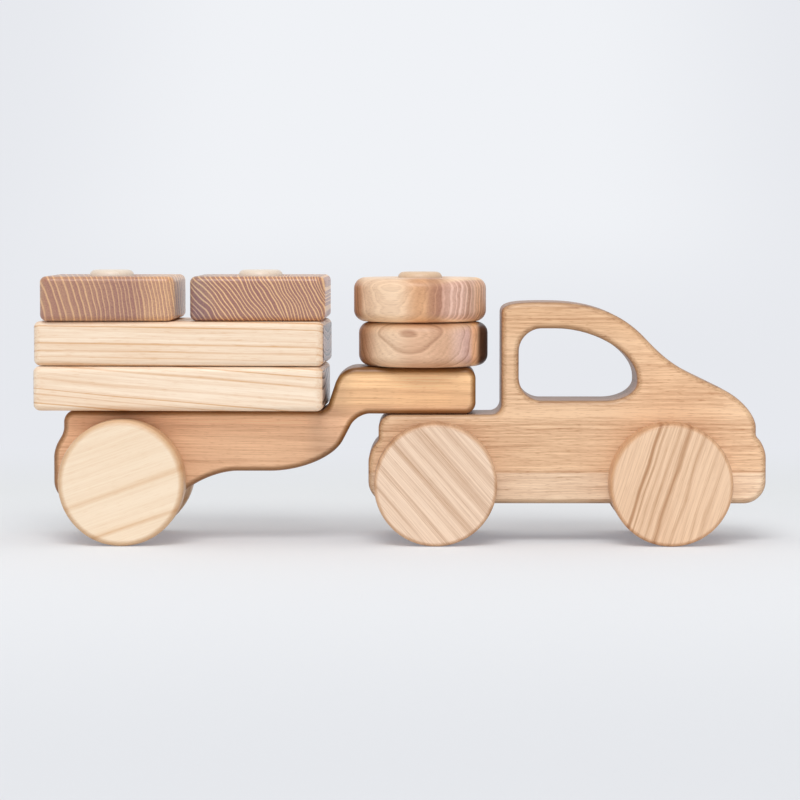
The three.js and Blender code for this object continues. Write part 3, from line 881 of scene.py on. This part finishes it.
DISC_LOOK = dict(bands=0.12, dashes=0.15)
DISCS = {
    "upper_disc": dict(
        pith=(-56, -135, 131.5), turn=(0, 90, -26), ring=2.8, waver=0.7, waver_size=(7, 7, 90),
        shades=((0, 0.75), (0.64, 1), (0.77, 0), (0.89, 0), (1, 0.75)),
        ring_depth=0.16, fine=4, fine_depth=0.07, base=0.02, oiled=0.12,
        end_rings=0.34, end_grain=0.04, end_from=0.46, end_full=0.74, end_tint=(0.92, 0.84, 0.96),
        zones=(
            (BACKWARD, 16.8, 22, (0.7, 0.54, 0.34)),
            (FORWARD, -3, 9, (0.79, 0.6, 0.46)),
            (FORWARD, 11, 14.5, (0.79, 0.76, 0.79)),
            (FORWARD, 16, 27, (1.72, 2.35, 3)),
            (FORWARD, 30, 34, (0.9, 0.88, 0.82)),
            (FORWARD, 35, 38, (1.17, 1.1, 0.92)),
            # Painted light on the lower rounded edge, standing in for light thrown up from below
            (DOWNWARD, -113.5, -109.5, (1.2, 1.17, 1.08)),
        ),
    ),
    "lower_disc": dict(
        pith=(-2.5, -55, 109.5), turn=(0, 90, -13), ring=3.9, inner=14.7, drift=0.1, uneven=1.6,
        waver=0.9, waver_size=(9, 9, 60),
        ring_depth=0.25, fine=3, fine_depth=0.1, base=0.14, oiled=0.2,
        end_grain=0.08, end_from=0.5, end_full=0.85, end_tint=(0.9, 0.84, 0.98),
        zones=(
            (BACKWARD, 10, 20, (0.74, 0.56, 0.34)),
            (FORWARD, -6, 8, (0.86, 0.74, 0.69)),
            (FORWARD, 12, 18, (0.94, 0.91, 0.9)),
            (FORWARD, 22, 29, (1.24, 1.44, 1.65)),
            (FORWARD, 33, 36, (1.25, 1.1, 0.75)),
            # The right edge, which faces the cab, made very dark: partly painted shade, partly darker
            # end grain
            (FORWARD, 36.5, 39.5, (0.11, 0.085, 0.07)),
            # Painted shadow of the upper disc along the top edge
            (UPWARD, 104.5, 108.5, (0.78, 0.74, 0.64)),
        ),
    ),
}


# Pieces


def settings():
    return bpy.context.scene.stacking_truck


def shades(kind, oil="oil"):
    """Pale and deep tone of a kind of wood, and the tint of its oiled edges."""
    tones = settings().wood
    return getattr(tones, kind + "_pale"), getattr(tones, kind + "_deep"), getattr(tones, oil)


def radius_of(node, axis="x"):
    """Radius of a round piece: half of its solid's box along an axis."""
    low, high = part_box(node)
    return (getattr(high, axis) - getattr(low, axis)) / 2


def hitch():
    """Place of the hitch peg's axis along the toy."""
    return middle("hitch_peg")[0]


def axle_bore(node, low, high):
    """A bore right across a body for an axle."""
    radius = radius_of(node, "z") + settings().body.bore_play
    x, _, z = middle(node)
    profile = [(radius, 0), (radius, high.y - low.y + 2 * CUT_OVERLAP)]
    return profile, FROM_RIGHT, (x, high.y + CUT_OVERLAP, z)


def peg_socket(node, bed):
    """A blind hole from the top of a bed for a glued peg."""
    gap = settings().body.seat_gap
    radius = radius_of(node) + gap
    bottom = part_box(node)[0].z - gap
    profile = [(radius, 0), (radius, bed - bottom + CUT_OVERLAP)]
    return profile, UPRIGHT, (middle(node)[0], 0, bottom)


class TruckBody(bpy.types.Operator):
    """Pickup sawn from one thick board, with a window through its cab"""

    bl_idname = "stacking_truck.truck_body"
    bl_label = "Truck body"

    def execute(self, context):
        size, body = settings().truck, settings().body
        hood_line = size.front - body.bumper_step
        bed_rear = -size.rear + body.bumper_step
        rear_notch = size.bed - size.tail
        front_notch = size.hood_end - size.nose
        screen_foot = size.front - size.screen_foot
        roof_front = size.front - size.roof_front
        outline = bent_outline(
            corner(-size.rear, size.bottom, body.bumper_round),
            corner(size.front, size.bottom, body.bumper_round),
            corner(size.front, front_notch - body.bumper_step, size.shoulder),
            corner(hood_line, front_notch, size.notch),
            corner(hood_line, size.hood_end, size.nose_drop, size.hood_nose),
            corner(screen_foot, size.screen_height, size.screen_hollow, fullness=TIGHT),
            corner(roof_front, size.cab_top, size.screen_sweep, size.roof_sweep, FULL),
            corner(size.cab_rear, size.cab_top, size.cab_sweep, size.cab_corner, TIGHT),
            corner(size.cab_rear, size.bed, size.cab_foot),
            corner(bed_rear, size.bed, size.bed_round),
            corner(bed_rear, rear_notch, size.notch),
            corner(-size.rear, rear_notch - body.bumper_step, size.shoulder),
        )
        rear, front = size.cab_rear + size.post, size.front - size.window_front
        top = size.cab_top - size.header
        window = bent_outline(
            corner(rear, top, size.window_corner),
            corner(front, top, size.window_slope, size.window_drop, SLACK),
            corner(front, size.sill, size.window_nose, size.window_foot),
            corner(rear, size.sill, size.window_corner),
        )
        low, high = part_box("truck_body")
        points, faces, rims = board_surface([outline, window], high.y - low.y, body.edge)
        axle = middle("truck_front_axle")[2]
        piece = new_piece("pickup", placed(points, *FROM_RIGHT, (hitch(), high.y, axle)), faces, rims)
        bores = [axle_bore(node, low, high) for node in ("truck_front_axle", "truck_rear_axle")]
        drill(piece, [*bores, peg_socket("hitch_peg", axle + size.bed)])
        truck_wood = wood("truck_wood", *shades("honey", "edge"), **TRUCK_LOOK)
        finish_piece(piece, "truck_body", "truck", truck_wood)
        return {"FINISHED"}


class TrailerBody(bpy.types.Operator):
    """Bed, belly and gooseneck sawn from one thick board"""

    bl_idname = "stacking_truck.trailer_body"
    bl_label = "Trailer body"

    def execute(self, context):
        size, body = settings().trailer, settings().body
        low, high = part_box("trailer_body")
        axle = middle("trailer_axle")[2]
        crest = high.z - axle
        under = middle("truck_front_axle")[2] + settings().truck.bed + body.seat_gap - axle
        bed_rear = -size.rear + body.bumper_step
        notch = size.bed - size.tail
        slope_top = -size.boss_front + size.boss_slope
        outline = bent_outline(
            corner(-size.rear, size.bottom, body.bumper_round),
            corner(-size.boss_front, size.bottom, size.boss_round),
            corner(slope_top, size.belly, size.boss_hollow),
            corner(-size.belly_front, size.belly, size.belly_sweep, size.neck_sweep),
            corner(-size.neck_under, under, size.neck_under_round),
            corner(size.neck_nose, under, size.neck_corner),
            corner(size.neck_nose, crest, size.neck_corner),
            corner(-size.neck_top, crest, size.neck_top_round),
            corner(-size.neck_foot, size.bed, size.neck_foot_round),
            corner(bed_rear, size.bed, size.bed_round),
            corner(bed_rear, notch, size.notch),
            corner(-size.rear, notch - size.bumper_drop, size.shoulder),
        )
        points, faces, rims = board_surface([outline], high.y - low.y, body.edge)
        points = placed(points, *FROM_RIGHT, (hitch(), high.y, axle))
        piece = new_piece("gooseneck_trailer", points, faces, rims)
        rim, neck_low, neck_high = body.rim, axle + under, axle + crest
        eased = radius_of("hitch_peg") + body.peg_play + rim
        neck_hole = [
            [(eased, neck_low - CUT_OVERLAP)],
            arc(eased, neck_low + rim, rim, 270, 180),
            arc(eased, neck_high - rim, rim, 180, 90),
            [(eased, neck_high + CUT_OVERLAP)],
        ]
        holes = [axle_bore("trailer_axle", low, high)]
        holes += [peg_socket(node, axle + size.bed) for node in ("load_peg_rear", "load_peg_front")]
        drill(piece, [*holes, (np.concatenate(neck_hole), UPRIGHT, (hitch(), 0, 0))])
        trailer_wood = wood("trailer_wood", *shades("russet", "edge"), **TRAILER_LOOK)
        finish_piece(piece, "trailer_body", "trailer", trailer_wood)
        return {"FINISHED"}


class Wheels(bpy.types.Operator):
    """Wheels turned from planks, with the grain across their faces, and their axles"""

    bl_idname = "stacking_truck.wheels"
    bl_label = "Wheels and axles"

    def execute(self, context):
        truck_edge, trailer_edge = settings().load.truck_wheel_edge, settings().load.trailer_wheel_edge
        # Name, body, rounding, kind of wood, rise of the grain in degrees, and look of each pair
        pairs = (
            ("truck_front", "front_wheelset", truck_edge, "striped", 72, FRONT_WHEEL),
            ("truck_rear", "rear_wheelset", truck_edge, "striped", -49, REAR_WHEEL),
            ("trailer", "trailer_wheelset", trailer_edge, "ivory", 19.5, TRAILER_WHEEL),
        )
        for name, body, edge, kind, rise, look in pairs:
            axle = f"{name}_axle"
            for side, axes in (("left", FROM_LEFT), ("right", FROM_RIGHT)):
                node = f"{name}_wheel_{side}"
                x, y, z = middle(node) / MM
                tree = {"pith": (x, y + WHEEL_PITH, z), "turn": (0, 90 - rise, 0)}
                wheel_wood = wood(f"{node}_wood", *shades(kind), **tree, **look)
                piece = self.wheel(node, axle, edge, axes)
                finish_piece(piece, node, body, wheel_wood)
            self.axle(axle, body)
        return {"FINISHED"}

    def wheel(self, node, axle, edge, axes):
        """A wheel from a blind bore at its inner face, round its tread, to its plain outer face."""
        low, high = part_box(node)
        radius, thick = radius_of(node), high.y - low.y
        start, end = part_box(axle)
        gap = settings().body.seat_gap
        bore = radius_of(axle, "z") + gap
        inner = low.y if axes is FROM_LEFT else high.y
        deep = abs((end.y if axes is FROM_LEFT else start.y) - inner) + gap
        profile, bend = joined_profile(
            (bore, deep),
            (bore, 0),
            (radius - edge - SUPPORT, 0),
            arc(radius - edge, edge, edge, -90, 0),
            (radius, edge + SUPPORT),
            (radius, thick - edge - SUPPORT),
            arc(radius - edge, thick - edge, edge, 0, 90),
            (radius - edge - SUPPORT, thick),
        )
        bend[profile[:, 0] > radius - edge * TREAD_SHARE] = TREAD_OIL
        points, faces, rims = turned_surface(profile, bend)
        x, _, z = middle(node)
        return new_piece(node + "_turned", placed(points, *axes, (x, inner, z)), faces, rims)

    def axle(self, node, body):
        """A dowel with a chamfer at each end."""
        low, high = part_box(node)
        radius, long = radius_of(node, "z"), high.y - low.y
        cut = settings().load.axle_edge
        profile, bend = joined_profile(
            (radius - cut, 0), (radius, cut), (radius, long - cut), (radius - cut, long)
        )
        points, faces, rims = turned_surface(profile, bend, steps=HOLE_STEPS)
        x, _, z = middle(node)
        piece = new_piece(node + "_turned", placed(points, *FROM_RIGHT, (x, high.y, z)), faces, rims)
        pith = (x / MM, 0, z / MM + AXLE_PITH)
        axle_wood = wood(f"{node}_wood", *shades("dowel"), pith=pith, **AXLE_LOOK)
        finish_piece(piece, node, body, axle_wood)


class Pegs(bpy.types.Operator):
    """Dowel pegs that the load is threaded on"""

    bl_idname = "stacking_truck.pegs"
    bl_label = "Pegs"

    def execute(self, context):
        edge = settings().load.peg_edge
        pegs = (
            ("hitch_peg", "truck", (0.9, 0.76, 0.62)),
            ("load_peg_rear", "trailer", (1, 1, 1)),
            ("load_peg_front", "trailer", (1, 1, 1)),
        )
        for node, body, tint in pegs:
            low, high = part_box(node)
            radius, tall = radius_of(node), high.z - low.z
            profile, bend = joined_profile(
                (radius - SUPPORT, 0),
                (radius, SUPPORT),
                (radius, tall - edge - SUPPORT),
                arc(radius - edge, tall - edge, edge, 0, 90),
                (radius - edge - SUPPORT, tall),
            )
            points, faces, rims = turned_surface(profile, bend, steps=HOLE_STEPS)
            x = middle(node)[0]
            piece = new_piece(node + "_turned", placed(points, *UPRIGHT, (x, 0, low.z)), faces, rims)
            tree = {"pith": (x / MM + PEG_PITH[0], PEG_PITH[1], 0), "zones": ((UPWARD, 0, 1, tint),)}
            peg_wood = wood(f"{node}_wood", *shades("dowel"), **tree, **PEG_LOOK)
            finish_piece(piece, node, body, peg_wood)
        return {"FINISHED"}


def block(node, long, holes):
    """A cargo block of that length with round holes along it, turned as it lies on its pegs."""
    load = settings().load
    low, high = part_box(node)
    x, y = long / 2, load.block_width / 2
    ends = ((-x, -y), (x, -y), (x, y), (-x, y))
    outline = bent_outline(*(corner(*end, load.block_corner) for end in ends))
    radius = radius_of("load_peg_rear") + settings().body.peg_play
    rings = [ring_outline(place, 0, radius) for place in holes]
    points, faces, rims = board_surface([outline, *rings], high.z - low.z, load.block_edge)
    turn = getattr(load, node + "_turn")
    across = (math.cos(turn), math.sin(turn), 0)
    deep = (-math.sin(turn), math.cos(turn), 0)
    origin = (middle(node)[0], middle(node)[1], low.z)
    return new_piece(node + "_planed", placed(points, across, deep, (0, 0, 1), origin), faces, rims)


class Bars(bpy.types.Operator):
    """Long bars with two holes each"""

    bl_idname = "stacking_truck.bars"
    bl_label = "Bars"

    def execute(self, context):
        spacing = middle("load_peg_front")[0] - middle("load_peg_rear")[0]
        for node, look in BARS.items():
            piece = block(node, settings().load.bar_length, [-spacing / 2, spacing / 2])
            bar_wood = wood(f"{node}_wood", *shades("cream"), **BAR_LOOK, **look)
            finish_piece(piece, node, node, bar_wood)
        return {"FINISHED"}


class SquareBlocks(bpy.types.Operator):
    """Square blocks with one hole each, their end grain towards the sides"""

    bl_idname = "stacking_truck.square_blocks"
    bl_label = "Square blocks"

    def execute(self, context):
        for node, look in SQUARES.items():
            piece = block(node, settings().load.block_width, [0])
            block_wood = wood(f"{node}_wood", *shades("mauve", "square_edge"), **SQUARE_LOOK, **look)
            finish_piece(piece, node, node, block_wood)
        return {"FINISHED"}


class Discs(bpy.types.Operator):
    """Turned discs with a hole through each"""

    bl_idname = "stacking_truck.discs"
    bl_label = "Discs"

    def execute(self, context):
        load = settings().load
        hole = radius_of("hitch_peg") + settings().body.peg_play
        edge, rim = load.disc_edge, load.disc_rim
        for node, look in DISCS.items():
            low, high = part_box(node)
            radius, tall = radius_of(node), high.z - low.z
            profile, bend = joined_profile(
                (hole + rim + SUPPORT, 0),
                (radius - edge - SUPPORT, 0),
                arc(radius - edge, edge, edge, -90, 0),
                (radius, edge + SUPPORT),
                (radius, tall - edge - SUPPORT),
                arc(radius - edge, tall - edge, edge, 0, 90),
                (radius - edge - SUPPORT, tall),
                (hole + rim + SUPPORT, tall),
                arc(hole + rim, tall - rim, rim, 90, 180),
                (hole, tall - rim - SUPPORT),
                (hole, rim + SUPPORT),
                arc(hole + rim, rim, rim, 180, 270),
            )
            points, faces, rims = turned_surface(profile, bend, closed=True)
            x = middle(node)[0]
            piece = new_piece(node + "_turned", placed(points, *UPRIGHT, (x, 0, low.z)), faces, rims)
            disc_wood = wood(f"{node}_wood", *shades("golden"), **DISC_LOOK, **look)
            finish_piece(piece, node, node, disc_wood)
        return {"FINISHED"}


# Stage, in metres

FRONT_LAMP = ((-0.1, -1.35, 1.75), 1.2)  # place and width
OVERHEAD_LAMP = ((-0.2, -0.1, 1.8), 1.6)
LAMP_AIM = (0, 0, 0.06)
SKY_TINT = (0.985, 0.99, 1.0, 1)
SENSOR = 36  # in millimetres
FOCAL_PIXELS = 3000  # the focal length in pixels of a frame 800 wide
AIM_LEFT = 20  # how far the frame's middle lies left of the hitch peg's axis, in pixels
AIM_DOWN = 180  # and below the camera's own height
FLOOR_FRONT = -4
FLOOR_NEAR = -1
FLOOR_BACK = 1.6
FLOOR_STEPS = 14
SWEEP_BEND = 1.4  # radius of the bend from floor to wall
SWEEP_STEPS = 32
WALL_TOP = 4
PAPER_WIDE = 6  # half its width
PAPER_STEPS = 12
NEAR_TO_FLOOR = (-0.7, -0.1)  # where along Y one tone turns into the next
SHADE_TO_BEHIND = (-0.1, 0.4)
GLOW_GROWS = (0.1, 0.6)  # and where its own light grows to the full
LEAST_GLOW = 0.25  # share of that light which it gives all over
WALL_UP = (0, 0.18)  # where the wall's tone comes in along Z
WALL_ASIDE = (0.58, 0.2)  # and to each side


class Stage(bpy.types.Operator):
    """Pale paper sweep, soft lamps and the camera"""

    bl_idname = "stacking_truck.stage"
    bl_label = "Stage"

    def execute(self, context):
        stage = settings().stage
        self.sweep(stage)
        self.lamp("front_lamp", stage.key, *FRONT_LAMP)
        self.lamp("overhead_lamp", stage.above, *OVERHEAD_LAMP)
        scene = context.scene
        world = bpy.data.worlds.new("studio")
        world.use_nodes = True
        sky = world.node_tree.nodes["Background"]
        sky.inputs["Color"].default_value = SKY_TINT
        sky.inputs["Strength"].default_value = stage.sky
        scene.world = world
        camera = bpy.data.cameras.new("camera")
        camera.lens = stage.focal
        camera.sensor_width = SENSOR
        viewer = bpy.data.objects.new("camera", camera)
        viewer.location = (hitch(), -stage.distance, stage.height)
        aim = Vector((-AIM_LEFT / FOCAL_PIXELS, 1, -AIM_DOWN / FOCAL_PIXELS))
        viewer.rotation_euler = aim.to_track_quat("-Z", "Y").to_euler()
        scene.collection.objects.link(viewer)
        scene.camera = viewer
        scene.view_settings.view_transform = "Standard"
        return {"FINISHED"}

    def sweep(self, stage):
        """The floor runs level to the back, then up a quarter circle to an upright wall."""
        angle = np.linspace(0, np.pi / 2, SWEEP_STEPS + 1)
        wall = FLOOR_BACK + SWEEP_BEND
        level = np.linspace(FLOOR_NEAR, FLOOR_BACK, FLOOR_STEPS)
        y = np.concatenate([[FLOOR_FRONT], level, FLOOR_BACK + SWEEP_BEND * np.sin(angle), [wall]])
        z = np.concatenate([[0], np.zeros(FLOOR_STEPS), SWEEP_BEND * (1 - np.cos(angle)), [WALL_TOP]])
        x = np.linspace(-PAPER_WIDE, PAPER_WIDE, PAPER_STEPS + 1)
        across, deep = np.meshgrid(x, y)
        high = np.meshgrid(x, z)[1]
        points = np.stack([across, deep, high], axis=2).reshape(-1, 3)
        row, column = np.meshgrid(np.arange(len(y) - 1), np.arange(len(x) - 1), indexing="ij")
        first = (row * len(x) + column).reshape(-1, 1)
        faces = (first + np.array([0, 1, len(x) + 1, len(x)])).tolist()
        paper = new_piece("paper_sweep", points, faces)
        paper.data.materials.append(self.paper(stage))

    def paper(self, stage):
        """Paper that takes the toy's shadow and shows light of its own, more of it further back."""
        graph = Graph("paper")
        place = graph.node("SeparateXYZ", {"Vector": graph.node("TexCoord").outputs["Object"]}).outputs
        far = graph.between(place["Y"], *NEAR_TO_FLOOR)
        tone = graph.blend(far, linear(stage.near), linear(stage.floor))
        graph.feed(graph.shader.inputs["Base Color"], tone)
        graph.shader.inputs["Roughness"].default_value = 0.9
        graph.shader.inputs["Specular IOR Level"].default_value = 0.1
        behind = graph.between(place["Y"], *SHADE_TO_BEHIND)
        glow = graph.blend(behind, linear(stage.shade), linear(stage.behind))
        up = graph.between(place["Z"], *WALL_UP)
        aside = graph.between(graph.math("ABSOLUTE", place["X"]), *WALL_ASIDE)
        glow = graph.blend(graph.math("MULTIPLY", up, aside), glow, linear(stage.wall))
        glow = graph.node("Emission", {"Color": glow}).outputs["Emission"]
        ray = graph.node("LightPath").outputs
        seen = graph.math("MAXIMUM", ray["Is Camera Ray"], ray["Is Glossy Ray"])
        share = graph.math("MAXIMUM", graph.between(place["Y"], *GLOW_GROWS), LEAST_GLOW)
        share = graph.math("MULTIPLY", share, seen)
        both = graph.node("MixShader", {0: share, 1: graph.shader.outputs["BSDF"], 2: glow})
        graph.feed(graph.tree.nodes["Material Output"].inputs["Surface"], both.outputs["Shader"])
        return graph.material

    def lamp(self, name, power, place, width):
        """A round soft lamp at a place, turned towards the toy."""
        light = bpy.data.lights.new(name, "AREA")
        light.energy = power
        light.shape = "DISK"
        light.size = width
        lamp = bpy.data.objects.new(name, light)
        lamp.location = place
        aim = Vector(LAMP_AIM) - Vector(place)
        lamp.rotation_euler = aim.to_track_quat("-Z", "Y").to_euler()
        bpy.context.scene.collection.objects.link(lamp)


class ToyPanel(bpy.types.Panel):
    """Lists the pieces of the toy and their settings"""

    bl_idname = "VIEW3D_PT_stacking_truck"
    bl_label = "Stacking truck"
    bl_space_type = "VIEW_3D"
    bl_region_type = "UI"
    bl_category = "Stacking truck"

    def draw(self, context):
        for step in STEPS:
            self.layout.operator(step.bl_idname)
        for name in ToySettings.__annotations__:
            group = getattr(settings(), name)
            box = self.layout.box()
            box.label(text=name.capitalize())
            for item in type(group).__annotations__:
                box.prop(group, item)


STEPS = (TruckBody, TrailerBody, Wheels, Pegs, Bars, SquareBlocks, Discs, Stage)
GROUPS = (BodySizes, TruckSizes, TrailerSizes, LoadSizes, WoodColours, StageSettings, ToySettings)
CLASSES = (*GROUPS, *STEPS, ToyPanel)


def register():
    for item in CLASSES:
        bpy.utils.register_class(item)
    bpy.types.Scene.stacking_truck = PointerProperty(type=ToySettings)


def unregister():
    del bpy.types.Scene.stacking_truck
    for item in reversed(CLASSES):
        bpy.utils.unregister_class(item)


def main():
    register()
    bpy.ops.stacking_truck.truck_body()
    bpy.ops.stacking_truck.trailer_body()
    bpy.ops.stacking_truck.wheels()
    bpy.ops.stacking_truck.pegs()
    bpy.ops.stacking_truck.bars()
    bpy.ops.stacking_truck.square_blocks()
    bpy.ops.stacking_truck.discs()
    bpy.ops.stacking_truck.stage()


if __name__ == "__main__":
    main()
